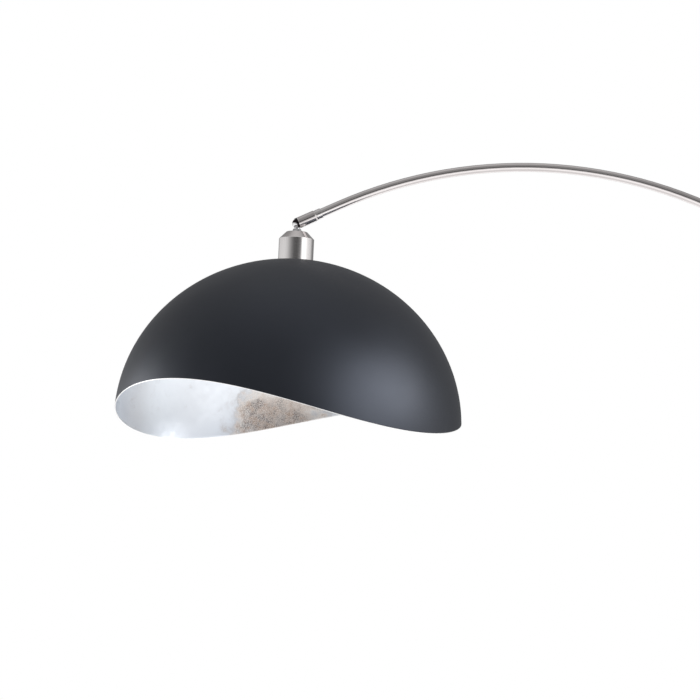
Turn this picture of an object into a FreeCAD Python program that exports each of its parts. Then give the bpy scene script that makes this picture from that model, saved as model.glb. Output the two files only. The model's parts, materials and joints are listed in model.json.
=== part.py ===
"""Arc floor lamp: a round weighted base, a straight pole, a bent arm and a shade on a ball swivel.

Frame: millimetres, +Z up, origin on the floor under the middle of the base. The pole stands on +Z,
the arm curves over towards -X in the XZ plane, and the shade hangs from its end.
"""
import FreeCAD, Part
import math
import os
import Sketcher

SIZES = [
    # base
    ("pad_radius", 145.0, "felt pad under the base"),
    ("pad_thick", 3.0, "thickness of the pad"),
    ("weight_radius", 145.0, "cast weight"),
    ("weight_side", 14.0, "straight side of the weight below its bevel"),
    ("weight_top", 21.0, "thickness of the weight at its flat"),
    ("weight_boss", 24.0, "radius of the raised middle of the weight"),
    ("recess_radius", 20.0, "nut recess under the weight"),
    ("recess_depth", 16.0, "depth of the nut recess"),
    ("channel_wide", 10.4, "cord channel under the weight"),
    ("channel_high", 10.6, "height of the cord channel"),
    ("channel_start", 10.0, "distance of the channel's inner end from the middle"),
    ("cover_radius", 150.0, "spun cover of the base"),
    ("cover_skin", 1.2, "sheet thickness of the cover"),
    ("cover_gap", 1.5, "gap between the cover's lip and the floor"),
    ("cover_round", 8.0, "outer rounding of the cover's edge"),
    ("cover_shoulder", 27.0, "height of the cover at its rounded edge"),
    ("cover_height", 31.0, "height of the cover at its middle"),
    ("cover_flat", 26.0, "radius of the cover's flat middle"),
    ("gland_height", 8.0, "height of the cord gland's axis"),
    ("gland_bore", 3.4, "bore radius of the cord gland"),
    ("gland_neck", 4.9, "radius of the gland where it passes the cover"),
    ("gland_flange", 6.2, "radius of the gland's two flanges"),
    ("gland_nose", 10.0, "length of the gland's nose inside the cover"),
    ("gland_inner", 1.6, "thickness of the gland's inner flange"),
    ("gland_outer", 2.0, "thickness of the gland's outer flange"),
    # fixing of the pole
    ("stud_radius", 5.0, "hollow threaded stud"),
    ("stud_bore", 3.6, "bore radius of the stud"),
    ("stud_foot", 12.0, "height of the stud's lower end"),
    ("stud_length", 44.0, "length of the stud"),
    ("stud_clear", 5.2, "clearance hole radius for the stud"),
    ("nut_flats", 17.0, "width across the flats of the base nut"),
    ("nut_thick", 5.0, "thickness of the base nut"),
    ("washer_radius", 12.0, "base washer"),
    ("washer_thick", 1.5, "thickness of the base washer"),
    ("flange_radius", 24.0, "cover ring at the foot of the pole"),
    ("flange_height", 7.0, "height of that ring"),
    ("flange_edge", 1.5, "straight edge of that ring"),
    ("flange_waist", 3.0, "thickness of that ring at its top"),
    ("plug_length", 30.0, "length of the threaded plug in the pole's foot"),
    # pole
    ("pole_radius", 9.5, "outer radius of the pole"),
    ("pole_wall", 1.2, "wall of the pole"),
    ("pole_split", 535.0, "height of the joint between the two pole tubes"),
    ("pole_top", 1040.0, "top of the upper pole tube"),
    ("joint_ring", 10.2, "radius of the ring between the two pole tubes"),
    ("joint_ring_high", 3.0, "height of that ring"),
    ("spigot_length", 28.0, "length of the joint's spigot in each tube"),
    ("spigot_gap", 0.02, "radial play of pieces pressed into the pole"),
    ("collar_radius", 12.5, "collar on top of the pole"),
    ("collar_below", 22.0, "length of the collar over the pole"),
    ("collar_above", 30.0, "length of the collar above the pole"),
    ("collar_bevel", 1.5, "bevel at the collar's foot"),
    ("collar_taper", 4.0, "reach of the taper at the collar's top"),
    ("lock_height", 1056.0, "height of the lock knob's axis"),
    ("lock_thread", 2.5, "thread radius of the lock knob"),
    ("lock_boss", 5.5, "radius of the boss that carries the lock knob"),
    ("lock_boss_start", 8.0, "distance of that boss's root from the pole's axis"),
    ("lock_boss_end", 17.0, "reach of that boss from the pole's axis"),
    ("knob_radius", 8.5, "radius of the knurled head"),
    ("knob_thick", 11.0, "thickness of the knurled head"),
    ("knob_shoulder", 1.5, "length of the shoulder between boss and head"),
    ("knob_shoulder_radius", 5.0, "radius of that shoulder"),
    ("knob_groove", 0.7, "radius of one knurled groove"),
    ("bush_foot", 930.0, "height of the guide bush inside the pole"),
    ("bush_floor", 5.0, "thickness of the bush's floor"),
    ("bush_length", 26.0, "length of the guide bush"),
    # arm
    ("arc_radius", 530.6, "radius of the arm's centre line"),
    ("arc_height", 1164.2, "height of the centre of the arm's arc"),
    ("tube_radius", 5.2, "outer radius of the arm tube"),
    ("tube_wall", 1.0, "wall of the arm tube"),
    ("tube_run_fit", 0.05, "radial play of the tube in the collar, the bush and the ferrule"),
    ("split_angle", 45.0, "degrees from the pole side of the arc to the joint of the two arm tubes"),
    ("end_slope", 24.0, "degrees that the arm's end falls below the level"),
    ("end_run", 52.2, "straight run from the end of the arc to the ball's centre"),
    ("sleeve_radius", 6.7, "sleeve over the joint of the two arm tubes"),
    ("sleeve_span", 3.8, "degrees of arc that the sleeve covers"),
    ("screw_radius", 1.5, "set screws of the sleeve"),
    ("lead_radius", 2.4, "two-core lead inside the tubes"),
    ("lead_room", 0.8, "play of the lead in the bores that it passes"),
    ("lead_bend", 7.0, "radius of the lead's bend under the pole"),
    ("lead_gap", 1.0, "free end of each piece of lead"),
    ("key_radius", 0.85, "corner radius of a set screw's hexagon socket"),
    ("key_floor", 0.7, "metal left under that socket"),
    # ball swivel, measured from the ball's centre
    ("ball_radius", 6.02, "swivel ball"),
    ("cup_radius", 6.1, "inside radius of the ferrule round the ball"),
    ("ferrule_radius", 6.65, "outer radius of the ferrule"),
    ("lip_reach", 1.0, "reach of the ferrule's rolled lip past the ball's centre"),
    ("chamber_depth", 11.5, "depth of the chamber behind the ball"),
    ("tube_reach", 12.4, "distance of the tube's end from the ball's centre"),
    ("ferrule_length", 23.4, "distance of the ferrule's tube end from the ball's centre"),
    ("ferrule_bevel", 1.4, "length of the bevel at the ferrule's tube end"),
    ("jam_radius", 6.05, "jam collar behind the ferrule"),
    ("jam_length", 7.0, "length of the jam collar"),
    ("slot_half", 3.55, "half the width of the ferrule's slot"),
    ("slot_back", 0.45, "centre of the slot's round end behind the ball's centre"),
    ("slot_depth", 6.0, "reach of the slot's tool"),
    ("spring_room", 5.0, "length of the chamber that holds the spring"),
    ("spring_wire", 0.35, "wire radius of the spring"),
    ("spring_inset", 0.8, "distance of the wire's middle from the chamber's wall"),
    ("spring_pitch", 1.4, "pitch of the spring"),
    ("spring_height", 4.2, "height of the spring from wire to wire"),
    ("stem_radius", 3.25, "stem between ball and neck"),
    ("ball_height", 233.3, "height of the ball's centre above the shade's middle"),
    ("head_lean", 2.6, "degrees that the head leans towards the pole"),
    # head, measured up from the middle of the shade's widest circle
    ("cap_radius", 20.4, "cap over the lampholder"),
    ("cap_foot", 189.4, "height of the cap's foot"),
    ("cap_shoulder", 214.8, "height where the cap starts to taper"),
    ("cap_top", 223.3, "height of the cap's flat top"),
    ("cap_top_radius", 12.1, "radius of the cap's flat top"),
    ("cap_wall", 1.4, "wall of the cap"),
    ("cap_roof", 2.0, "thickness of the cap's top"),
    ("neck_height", 3.5, "height of the conical neck on the cap"),
    ("neck_radius", 5.85, "foot radius of the neck"),
    ("neck_top_radius", 4.6, "top radius of the neck"),
    ("tail_end", 211.0, "height of the lower end of the threaded tail"),
    ("stem_bore", 2.7, "bore radius of the threaded tail"),
    ("stem_narrow", 2.1, "bore radius of the stem"),
    ("stem_washer_radius", 8.6, "spring washer inside the cap"),
    ("stem_washer_thick", 0.8, "sheet thickness of that washer"),
    ("stem_nut_flats", 14.0, "width across the flats of the stem's nut"),
    ("stem_nut_thick", 4.0, "thickness of the stem's nut"),
    ("shade_radius", 200.0, "half the width of the shade"),
    ("shade_rise", 190.2, "height of the shade's crown above its widest circle"),
    ("shade_skin", 1.2, "sheet thickness of the shade"),
    ("shade_hole", 17.1, "radius of the hole in the crown"),
    ("rim_mean", 10.5, "mean height of the rim"),
    ("rim_wave", 24.4, "height of the rim's two waves"),
    ("rim_tip", 3.4, "height of the rim's one-sided rise"),
    ("rim_tip_turn", 66.0, "degrees from the wave frame's +X to that rise"),
    ("rim_turn", 1.7, "degrees that the wave frame is turned about the stem"),
    ("holder_radius", 18.5, "body of the lampholder inside the cap"),
    ("holder_skirt", 17.0, "threaded skirt of the lampholder"),
    ("holder_top", 208.0, "top of the lampholder"),
    ("holder_foot", 158.0, "mouth of the lampholder"),
    ("holder_bore", 14.6, "bore radius of the lampholder"),
    ("holder_roof", 199.0, "roof of the lampholder's bore"),
    ("shell_radius", 13.9, "outer radius of the screw shell"),
    ("shell_wall", 0.5, "sheet thickness of the screw shell"),
    ("shell_inset", 6.0, "distance of the shell from the lampholder's mouth"),
    ("contact_radius", 6.0, "centre contact"),
    ("contact_thick", 1.6, "thickness of the centre contact"),
    ("terminal_offset", 10.0, "distance of a terminal screw from the stem's axis"),
    ("terminal_radius", 2.6, "head of a terminal screw"),
    ("terminal_high", 1.8, "height of that head"),
    ("terminal_slot", 0.7, "width of the slot in that head"),
    ("ring_radius", 26.0, "flange of the ring that clamps the shade"),
    ("ring_flange", 2.2, "thickness of that flange"),
    ("ring_high", 9.0, "height of that ring"),
    ("ring_wall", 4.0, "wall of that ring's threaded part"),
    ("ring_notch", 1.4, "radius of one grip notch in that ring"),
    ("bulb_cap_radius", 13.1, "screw cap of the bulb"),
    ("bulb_cap_wall", 0.4, "sheet thickness of the bulb's screw cap"),
    ("bulb_cap_shoulder", 3.0, "height of the cap's cone towards its contact"),
    ("bulb_contact", 4.5, "radius of the bulb's contact"),
    ("bulb_contact_high", 1.9, "height of the bulb's contact"),
    ("bulb_inset", 4.0, "distance of the bulb's cap from the lampholder's mouth and roof"),
    ("bulb_overlap", 10.0, "length of the glass inside the bulb's cap"),
    ("bulb_radius", 30.0, "glass of the bulb"),
    ("bulb_flare", 16.0, "height above the globe's middle where the glass starts to narrow"),
    ("glass_wall", 1.0, "wall of the glass"),
    ("bulb_foot", 75.0, "lowest point of the bulb"),
]

SMALL_BEVEL = 0.8
PRESS_GAP = 0.02
SLIDE_GAP = 0.05
LOOSE_GAP = 0.1
REST_GAP = 0.3
TOOL_PAST = 2.0

doc = FreeCAD.newDocument("arc_floor_lamp")
sheet = doc.addObject("Spreadsheet::Sheet", "dims")
parts = []


class Size:
    """A length with its number and the sheet expression that it comes from."""

    def __init__(self, value, text):
        self.value = value
        self.text = text

    def __add__(self, other):
        other = as_size(other)
        return Size(self.value + other.value, "(%s + %s)" % (self.text, other.text))

    def __sub__(self, other):
        other = as_size(other)
        return Size(self.value - other.value, "(%s - %s)" % (self.text, other.text))

    def __mul__(self, other):
        other = as_size(other)
        return Size(self.value * other.value, "(%s * %s)" % (self.text, other.text))

    def __truediv__(self, other):
        other = as_size(other)
        return Size(self.value / other.value, "(%s / %s)" % (self.text, other.text))

    def __neg__(self):
        return Size(-self.value, "(0 - %s)" % self.text)


def as_size(number):
    """Plain numbers may stand beside sizes in a sum."""
    if isinstance(number, Size):
        return number
    return Size(float(number), "%.6f" % number)


def root(size):
    """Square root of a size."""
    return Size(math.sqrt(size.value), "sqrt(%s)" % size.text)


def circle_height(radius, across):
    """Height of a circle's edge at a distance from its middle."""
    return root(radius * radius - across * across)


def fill_sheet():
    """Write the driving dimensions and return them as sizes."""
    sizes = {}
    for row, (alias, value, meaning) in enumerate(SIZES, start=1):
        sheet.set("A%d" % row, meaning)
        sheet.set("B%d" % row, str(value))
        sheet.setAlias("B%d" % row, alias)
        sizes[alias] = Size(value, "dims." + alias)
    doc.recompute()
    return sizes


S = fill_sheet()
ZERO = as_size(0.0)
Y_AXIS = FreeCAD.Vector(0, 1, 0)
Z_AXIS = FreeCAD.Vector(0, 0, 1)


# ---------------------------------------------------------------- frames of the assemblies

def arc_centre():
    """Centre of the arm's arc."""
    return FreeCAD.Vector(-S["arc_radius"].value, 0, S["arc_height"].value)


def ball_centre():
    """Centre of the swivel ball, at the end of the arm's straight run."""
    slope = math.radians(S["end_slope"].value)
    radius = S["arc_radius"].value
    run = S["end_run"].value
    offset = FreeCAD.Vector(-radius * math.sin(slope) - run * math.cos(slope), 0,
                            radius * math.cos(slope) - run * math.sin(slope))
    return arc_centre() + offset


def head_frame(turn=0.0):
    """Frame of the head: origin in the middle of the shade, Z up the stem, turned about Z."""
    lean = FreeCAD.Rotation(Y_AXIS, S["head_lean"].value)
    up = lean.multVec(Z_AXIS)
    origin = ball_centre() - up * S["ball_height"].value
    return FreeCAD.Placement(origin, lean * FreeCAD.Rotation(Z_AXIS, turn))


def ferrule_frame():
    """Frame of the swivel: origin in the ball, Z along the ferrule towards the arm."""
    return FreeCAD.Placement(ball_centre(), FreeCAD.Rotation(Y_AXIS, 90 - S["end_slope"].value))


def arc_frame(angle):
    """Frame with its origin in the arc's centre and X turned up from the pole side by an angle."""
    return FreeCAD.Placement(arc_centre(), FreeCAD.Rotation(Y_AXIS, -angle))


# ---------------------------------------------------------------- sketches and features

def finish_part(item, label, frame=None):
    """Give a sub-part its name and place, and put it on the list of pieces."""
    item.Label = label
    if frame is not None:
        item.Placement = frame
    parts.append(item)
    return item


def raise_part(item, height):
    """Lift a sub-part to a height from the sheet."""
    item.setExpression(".Placement.Base.z", height.text)
    return item


def new_body(name):
    """An empty body."""
    return doc.addObject("PartDesign::Body", name + "_body")


def new_sketch(body, role="XZ_Plane"):
    """A sketch on one of the body's origin planes."""
    sketch = body.newObject("Sketcher::SketchObject", body.Name + "_sketch")
    plane = [item for item in body.Origin.OriginFeatures if item.Role == role][0]
    sketch.AttachmentSupport = [(plane, "")]
    sketch.MapMode = "FlatFace"
    return sketch


def pin_point(sketch, edge, end, point):
    """Tie one point of an edge to its two sizes."""
    for kind, size in zip(("DistanceX", "DistanceY"), point):
        index = sketch.addConstraint(Sketcher.Constraint(kind, -1, 1, edge, end, size.value))
        if size is not ZERO:
            sketch.setExpression("Constraints[%d]" % index, size.text)


def arc_edge(start, end, middle):
    """Anticlockwise arc between two points about a centre, and whether start is its first point."""
    centre = FreeCAD.Vector(middle[0].value, middle[1].value, 0)
    first = FreeCAD.Vector(start[0].value, start[1].value, 0) - centre
    last = FreeCAD.Vector(end[0].value, end[1].value, 0) - centre
    angles = [math.atan2(first.y, first.x), math.atan2(last.y, last.x)]
    forward = (first.x * last.y - first.y * last.x) > 0
    if not forward:
        angles.reverse()
    if angles[1] < angles[0]:
        angles[1] += 2 * math.pi
    circle = Part.Circle(centre, Z_AXIS, first.Length)
    return Part.ArcOfCircle(circle, angles[0], angles[1]), forward


def draw_outline(sketch, points, arcs=None):
    """Closed outline of lines and arcs. arcs maps an edge's number to (centre across, up, radius)."""
    arcs = arcs or {}
    points = [(as_size(across), as_size(up)) for across, up in points]
    count = len(points)
    ends = []
    for index, start in enumerate(points):
        end = points[(index + 1) % count]
        if index in arcs:
            middle = [as_size(value) for value in arcs[index]]
            shape, forward = arc_edge(start, end, middle)
        else:
            shape = Part.LineSegment(FreeCAD.Vector(start[0].value, start[1].value, 0),
                                     FreeCAD.Vector(end[0].value, end[1].value, 0))
            forward = True
        edge = sketch.addGeometry(shape, False)
        ends.append((edge, 1, 2) if forward else (edge, 2, 1))
        if index in arcs:
            radius = sketch.addConstraint(Sketcher.Constraint("Radius", edge, middle[2].value))
            sketch.setExpression("Constraints[%d]" % radius, middle[2].text)
    for index, (edge, first, last) in enumerate(ends):
        following = ends[(index + 1) % count]
        sketch.addConstraint(Sketcher.Constraint("Coincident", edge, last, following[0], following[1]))
        pin_point(sketch, edge, first, points[index])


def draw_circle(sketch, across, up, radius):
    """Circle at a place in the sketch."""
    across, up, radius = as_size(across), as_size(up), as_size(radius)
    centre = FreeCAD.Vector(across.value, up.value, 0)
    edge = sketch.addGeometry(Part.Circle(centre, Z_AXIS, radius.value), False)
    pin_point(sketch, edge, 3, (across, up))
    index = sketch.addConstraint(Sketcher.Constraint("Radius", edge, radius.value))
    sketch.setExpression("Constraints[%d]" % index, radius.text)


def draw_hexagon(sketch, flats):
    """Hexagon about the sketch's origin, with two corners on its X axis."""
    corner = flats / math.sqrt(3)
    half = flats / 2
    points = [(corner, 0), (corner / 2, half), (-corner / 2, half),
              (-corner, 0), (-corner / 2, -half), (corner / 2, -half)]
    draw_outline(sketch, points)


def revolve(body, sketch, angle=None, axis="V_Axis", back=False):
    """Turn a sketch about one of its axes, a full turn if no angle is given."""
    feature = body.newObject("PartDesign::Revolution", body.Name + "_turn")
    feature.Profile = sketch
    feature.ReferenceAxis = (sketch, [axis])
    feature.Reversed = back
    if angle is None:
        feature.Angle = 360
    else:
        feature.setExpression("Angle", angle.text)
    return feature


def pad(body, sketch, length, back=False):
    """Push a sketch out by a length."""
    feature = body.newObject("PartDesign::Pad", body.Name + "_pad")
    feature.Profile = sketch
    feature.setExpression("Length", as_size(length).text)
    feature.Reversed = back
    return feature


def pocket(body, sketch, length, back=False):
    """Cut a sketch into the body to a depth, and stop if nothing was cut."""
    doc.recompute()
    before = body.Shape.Volume
    feature = body.newObject("PartDesign::Pocket", body.Name + "_cut")
    feature.Profile = sketch
    feature.setExpression("Length", as_size(length).text)
    feature.Reversed = back
    doc.recompute()
    if body.Shape.Volume >= before:
        raise RuntimeError("the pocket in %s cuts nothing" % body.Name)
    return feature


def repeat_round(body, feature, sketch, count):
    """Repeat a feature round the normal of its sketch."""
    pattern = body.newObject("PartDesign::PolarPattern", body.Name + "_pattern")
    pattern.Originals = [feature]
    pattern.Axis = (sketch, ["N_Axis"])
    pattern.Angle = 360
    pattern.Occurrences = count
    body.Tip = pattern
    return pattern


def turned(label, points, arcs=None, frame=None):
    """A piece turned about its own Z axis from (radius, height) points."""
    body = new_body(label)
    sketch = new_sketch(body)
    draw_outline(sketch, points, arcs)
    revolve(body, sketch)
    return finish_part(body, label, frame)


def ring(label, outer, inner, low, high, frame=None):
    """A plain tube, washer or bush between two heights."""
    points = [(inner, low), (outer, low), (outer, high), (inner, high)]
    return turned(label, points, frame=frame)


def hex_nut(label, flats, thick, bore, frame=None):
    """A hexagonal nut standing on its frame's XY plane."""
    body = new_body(label)
    sketch = new_sketch(body, "XY_Plane")
    draw_hexagon(sketch, flats)
    draw_circle(sketch, 0, 0, bore)
    pad(body, sketch, thick)
    return finish_part(body, label, frame)


def cut_shape(label, base, tools, frame=None):
    """A sub-part made by cutting other shapes out of one."""
    result = base
    for number, tool in enumerate(tools, start=1):
        cut = doc.addObject("Part::Cut", "%s_cut_%d" % (label, number))
        cut.Base = result
        cut.Tool = tool
        result = cut
    return finish_part(result, label, frame)


def bare_cylinder(name, radius, length, frame):
    """A cylinder used as a tool or as a small piece."""
    cylinder = doc.addObject("Part::Cylinder", name)
    cylinder.setExpression("Radius", as_size(radius).text)
    cylinder.setExpression("Height", as_size(length).text)
    cylinder.Placement = frame
    return cylinder


# ---------------------------------------------------------------- stand

def make_base_pad():
    """Felt disc under the weight. Its underside is the lamp's resting face."""
    points = [(0, 0), (S["pad_radius"], 0), (S["pad_radius"], S["pad_thick"]), (0, S["pad_thick"])]
    return turned("base_pad", points)


def make_base_weight():
    """Cast disc with a bevelled top edge, a raised middle, a nut recess and a cord channel."""
    bevel = S["weight_top"] - S["weight_side"]
    boss_top = S["cover_height"] - S["cover_skin"] - S["pad_thick"]
    points = [
        (S["recess_radius"], 0), (S["weight_radius"], 0), (S["weight_radius"], S["weight_side"]),
        (S["weight_radius"] - bevel, S["weight_top"]), (S["weight_boss"], S["weight_top"]),
        (S["weight_boss"], boss_top), (S["stud_clear"], boss_top),
        (S["stud_clear"], S["recess_depth"]), (S["recess_radius"], S["recess_depth"]),
    ]
    body = new_body("base_weight")
    sketch = new_sketch(body)
    draw_outline(sketch, points)
    revolve(body, sketch)
    channel = new_sketch(body, "XY_Plane")
    half = S["channel_wide"] / 2
    start, end = S["channel_start"], S["weight_radius"] + TOOL_PAST
    draw_outline(channel, [(start, -half), (end, -half), (end, half), (start, half)])
    pocket(body, channel, S["channel_high"], back=True)
    finish_part(body, "base_weight")
    return raise_part(body, S["pad_thick"])


def make_base_cover():
    """Spun cover: a straight lip, a rounded edge and a gently rising top, with the gland's hole."""
    outer, skin, edge = S["cover_radius"], S["cover_skin"], S["cover_round"]
    shoulder, height, flat = S["cover_shoulder"], S["cover_height"], S["cover_flat"]
    bend = shoulder - edge
    points = [
        (outer - skin, S["cover_gap"]), (outer, S["cover_gap"]), (outer, bend),
        (outer - edge, shoulder), (flat, height), (S["stud_clear"], height),
        (S["stud_clear"], height - skin), (flat, height - skin),
        (outer - edge, shoulder - skin), (outer - skin, bend),
    ]
    arcs = {2: (outer - edge, bend, edge), 8: (outer - edge, bend, edge - skin)}
    body = new_body("base_cover")
    sketch = new_sketch(body)
    draw_outline(sketch, points, arcs)
    revolve(body, sketch)
    hole = new_sketch(body, "YZ_Plane")
    draw_circle(hole, 0, S["gland_height"], S["gland_neck"] + LOOSE_GAP)
    pocket(body, hole, outer + TOOL_PAST, back=True)
    return finish_part(body, "base_cover")


def make_cord_gland():
    """Rubber bush with two flanges that grip the cover, and a nose into the weight's channel."""
    inside = S["cover_radius"] - S["cover_skin"] - LOOSE_GAP * 2
    outside = S["cover_radius"]
    bore, neck, flange = S["gland_bore"], S["gland_neck"], S["gland_flange"]
    nose, back, end = inside - S["gland_nose"], inside - S["gland_inner"], outside + S["gland_outer"]
    points = [
        (bore, nose), (neck - REST_GAP, nose), (neck - REST_GAP, back), (flange, back),
        (flange, inside), (neck, inside), (neck, outside), (flange, outside),
        (flange - SMALL_BEVEL, end), (bore, end),
    ]
    frame = FreeCAD.Placement(FreeCAD.Vector(0, 0, 0), FreeCAD.Rotation(Y_AXIS, 90))
    gland = turned("cord_gland", points, frame=frame)
    return raise_part(gland, S["gland_height"])


def make_pole_fixing():
    """Hollow stud, washer and nut that clamp the pole's foot to the weight."""
    stud = ring("base_stud", S["stud_radius"], S["stud_bore"], 0, S["stud_length"])
    raise_part(stud, S["stud_foot"])
    seat = S["pad_thick"] + S["recess_depth"] - S["washer_thick"]
    washer = ring("base_washer", S["washer_radius"], S["stud_clear"], 0, S["washer_thick"])
    raise_part(washer, seat)
    nut = hex_nut("base_nut", S["nut_flats"], S["nut_thick"], S["stud_radius"])
    raise_part(nut, seat - S["nut_thick"])


def make_pole_foot():
    """Threaded plug in the foot of the pole, and the ring that covers the foot."""
    bore = S["pole_radius"] - S["pole_wall"] - S["spigot_gap"]
    plug = ring("pole_foot_plug", bore, S["stud_radius"], 0, S["plug_length"])
    raise_part(plug, S["cover_height"])
    inner = S["pole_radius"] + LOOSE_GAP
    outer, high, edge = S["flange_radius"], S["flange_height"], S["flange_edge"]
    points = [
        (inner, 0), (outer, 0), (outer, edge), (outer - edge, edge + SMALL_BEVEL),
        (inner + S["flange_waist"], high), (inner, high),
    ]
    cover_ring = turned("base_flange", points)
    raise_part(cover_ring, S["cover_height"])


def make_pole():
    """Two equal tubes joined by a turned spigot with a narrow ring."""
    outer = S["pole_radius"]
    inner = outer - S["pole_wall"]
    half_ring = S["joint_ring_high"] / 2
    lower = ring("pole_lower", outer, inner, 0, S["pole_split"] - half_ring - S["cover_height"])
    raise_part(lower, S["cover_height"])
    upper = ring("pole_upper", outer, inner, 0, S["pole_top"] - S["pole_split"] - half_ring)
    raise_part(upper, S["pole_split"] + half_ring)
    reach = half_ring + S["spigot_length"]
    spigot = inner - S["spigot_gap"]
    points = [
        (S["stud_bore"], -reach), (spigot, -reach), (spigot, -half_ring),
        (S["joint_ring"], -half_ring), (S["joint_ring"], half_ring), (spigot, half_ring),
        (spigot, reach), (S["stud_bore"], reach),
    ]
    joint = turned("pole_joint", points)
    raise_part(joint, S["pole_split"])


def make_top_collar():
    """Collar over the pole's top. The arm's leg turns in it, and a side boss holds the lock knob."""
    below, above = S["collar_below"], S["collar_above"]
    bevel, taper = S["collar_bevel"], S["collar_taper"]
    outer, leg = S["collar_radius"], S["tube_radius"] + S["tube_run_fit"]
    socket = S["pole_radius"] + S["spigot_gap"]
    points = [
        (socket, -below), (outer - bevel, -below), (outer, -below + bevel), (outer, above - taper),
        (outer - taper, above), (leg, above), (leg, 0), (socket, 0),
    ]
    body = new_body("top_collar")
    sketch = new_sketch(body)
    draw_outline(sketch, points)
    revolve(body, sketch)
    rise = S["lock_height"] - S["pole_top"]
    boss = new_sketch(body, "YZ_Plane")
    start = S["lock_boss_start"]
    boss.AttachmentOffset = FreeCAD.Placement(Z_AXIS * start.value, FreeCAD.Rotation())
    draw_circle(boss, 0, rise, S["lock_boss"])
    pad(body, boss, S["lock_boss_end"] - start)
    hole = new_sketch(body, "YZ_Plane")
    draw_circle(hole, 0, rise, S["lock_thread"])
    pocket(body, hole, S["lock_boss_end"] + TOOL_PAST, back=True)
    finish_part(body, "top_collar")
    return raise_part(body, S["pole_top"])


def make_guide_bush():
    """Nylon cup pressed into the pole: its floor carries the foot of the arm's leg."""
    outer = S["pole_radius"] - S["pole_wall"] - S["spigot_gap"]
    leg = S["tube_radius"] + S["tube_run_fit"]
    bore = S["lead_radius"] + S["lead_room"]
    points = [
        (bore, 0), (outer, 0), (outer, S["bush_length"]), (leg, S["bush_length"]),
        (leg, S["bush_floor"]), (bore, S["bush_floor"]),
    ]
    bush = turned("guide_bush", points)
    return raise_part(bush, S["bush_foot"])


def make_pole_lead():
    """Two-core lead from the base's channel, round a tight bend and up the pole."""
    body = new_body("pole_lead")
    bend = S["lead_bend"].value
    start = S["weight_radius"] - S["gland_nose"] - TOOL_PAST
    low = S["gland_height"]
    top = S["bush_foot"] + S["bush_floor"] - S["lead_gap"]
    path = new_sketch(body)
    edges = [
        Part.LineSegment(FreeCAD.Vector(start.value, low.value, 0), FreeCAD.Vector(bend, low.value, 0)),
        Part.ArcOfCircle(Part.Circle(FreeCAD.Vector(bend, low.value + bend, 0), Z_AXIS, bend),
                         math.pi, 1.5 * math.pi),
        Part.LineSegment(FreeCAD.Vector(0, low.value + bend, 0), FreeCAD.Vector(0, top.value, 0)),
    ]
    for edge in edges:
        path.addGeometry(edge, False)
    for first, first_end, second, second_end in ((0, 2, 1, 2), (1, 1, 2, 1)):
        path.addConstraint(Sketcher.Constraint("Tangent", first, first_end, second, second_end))
    pin_point(path, 0, 1, (start, low))
    pin_point(path, 0, 2, (S["lead_bend"], low))
    pin_point(path, 2, 2, (as_size(0), top))
    profile = new_sketch(body, "YZ_Plane")
    profile.AttachmentOffset = FreeCAD.Placement(FreeCAD.Vector(0, 0, start.value), FreeCAD.Rotation())
    draw_circle(profile, 0, low, S["lead_radius"])
    doc.recompute()
    pipe = body.newObject("PartDesign::AdditivePipe", "pole_lead_pipe")
    pipe.Profile = profile
    pipe.Spine = (path, ["Edge1", "Edge2", "Edge3"])
    return finish_part(body, "pole_lead")


def make_lock_knob():
    """Thumb screw with a knurled head. Its tip stops just short of the arm's leg at rest."""
    tip = S["tube_radius"] + REST_GAP
    back = S["lock_boss_end"] + REST_GAP
    face = back + S["knob_shoulder"]
    end = face + S["knob_thick"]
    shank, shoulder, head = S["lock_thread"] - SLIDE_GAP, S["knob_shoulder_radius"], S["knob_radius"]
    bevel = SMALL_BEVEL
    points = [
        (0, tip), (shank - bevel, tip), (shank, tip + bevel), (shank, back), (shoulder, back),
        (shoulder, face), (head - bevel, face), (head, face + bevel), (head, end - bevel),
        (head - bevel, end), (0, end),
    ]
    body = new_body("lock_knob")
    sketch = new_sketch(body)
    draw_outline(sketch, points)
    revolve(body, sketch)
    groove = new_sketch(body, "XY_Plane")
    groove.AttachmentOffset = FreeCAD.Placement(FreeCAD.Vector(0, 0, face.value), FreeCAD.Rotation())
    draw_circle(groove, head + S["knob_groove"] / 2, 0, S["knob_groove"])
    cut = pocket(body, groove, S["knob_thick"] + TOOL_PAST, back=True)
    repeat_round(body, cut, groove, 30)
    frame = FreeCAD.Placement(FreeCAD.Vector(0, 0, 0), FreeCAD.Rotation(Y_AXIS, 90))
    finish_part(body, "lock_knob", frame)
    return raise_part(body, S["lock_height"])


# ---------------------------------------------------------------- arm

def bent_tube(label, start, sweep, run, outer, inner=None, upward=True):
    """Tube bent along the arm's arc from a start angle, with a straight run at the start."""
    body = new_body(label)
    sketch = new_sketch(body, "XY_Plane")
    draw_circle(sketch, S["arc_radius"], 0, outer)
    if inner is not None:
        draw_circle(sketch, S["arc_radius"], 0, inner)
    revolve(body, sketch, sweep, back=upward)
    if run is not None:
        pad(body, sketch, run, back=upward)
    return finish_part(body, label, arc_frame(start))


def make_arc_tubes():
    """Lower tube with the straight leg, and upper tube with the straight end in the ferrule."""
    inner = S["tube_radius"] - S["tube_wall"]
    leg = S["arc_height"] - S["bush_foot"] - S["bush_floor"] - REST_GAP
    bent_tube("arc_lower", 0, S["split_angle"], leg, S["tube_radius"], inner)
    sweep = S["end_slope"] + 90 - S["split_angle"]
    tip = 90 + S["end_slope"].value
    run = S["end_run"] - S["tube_reach"]
    bent_tube("arc_upper", tip, sweep, run, S["tube_radius"], inner, upward=False)


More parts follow.
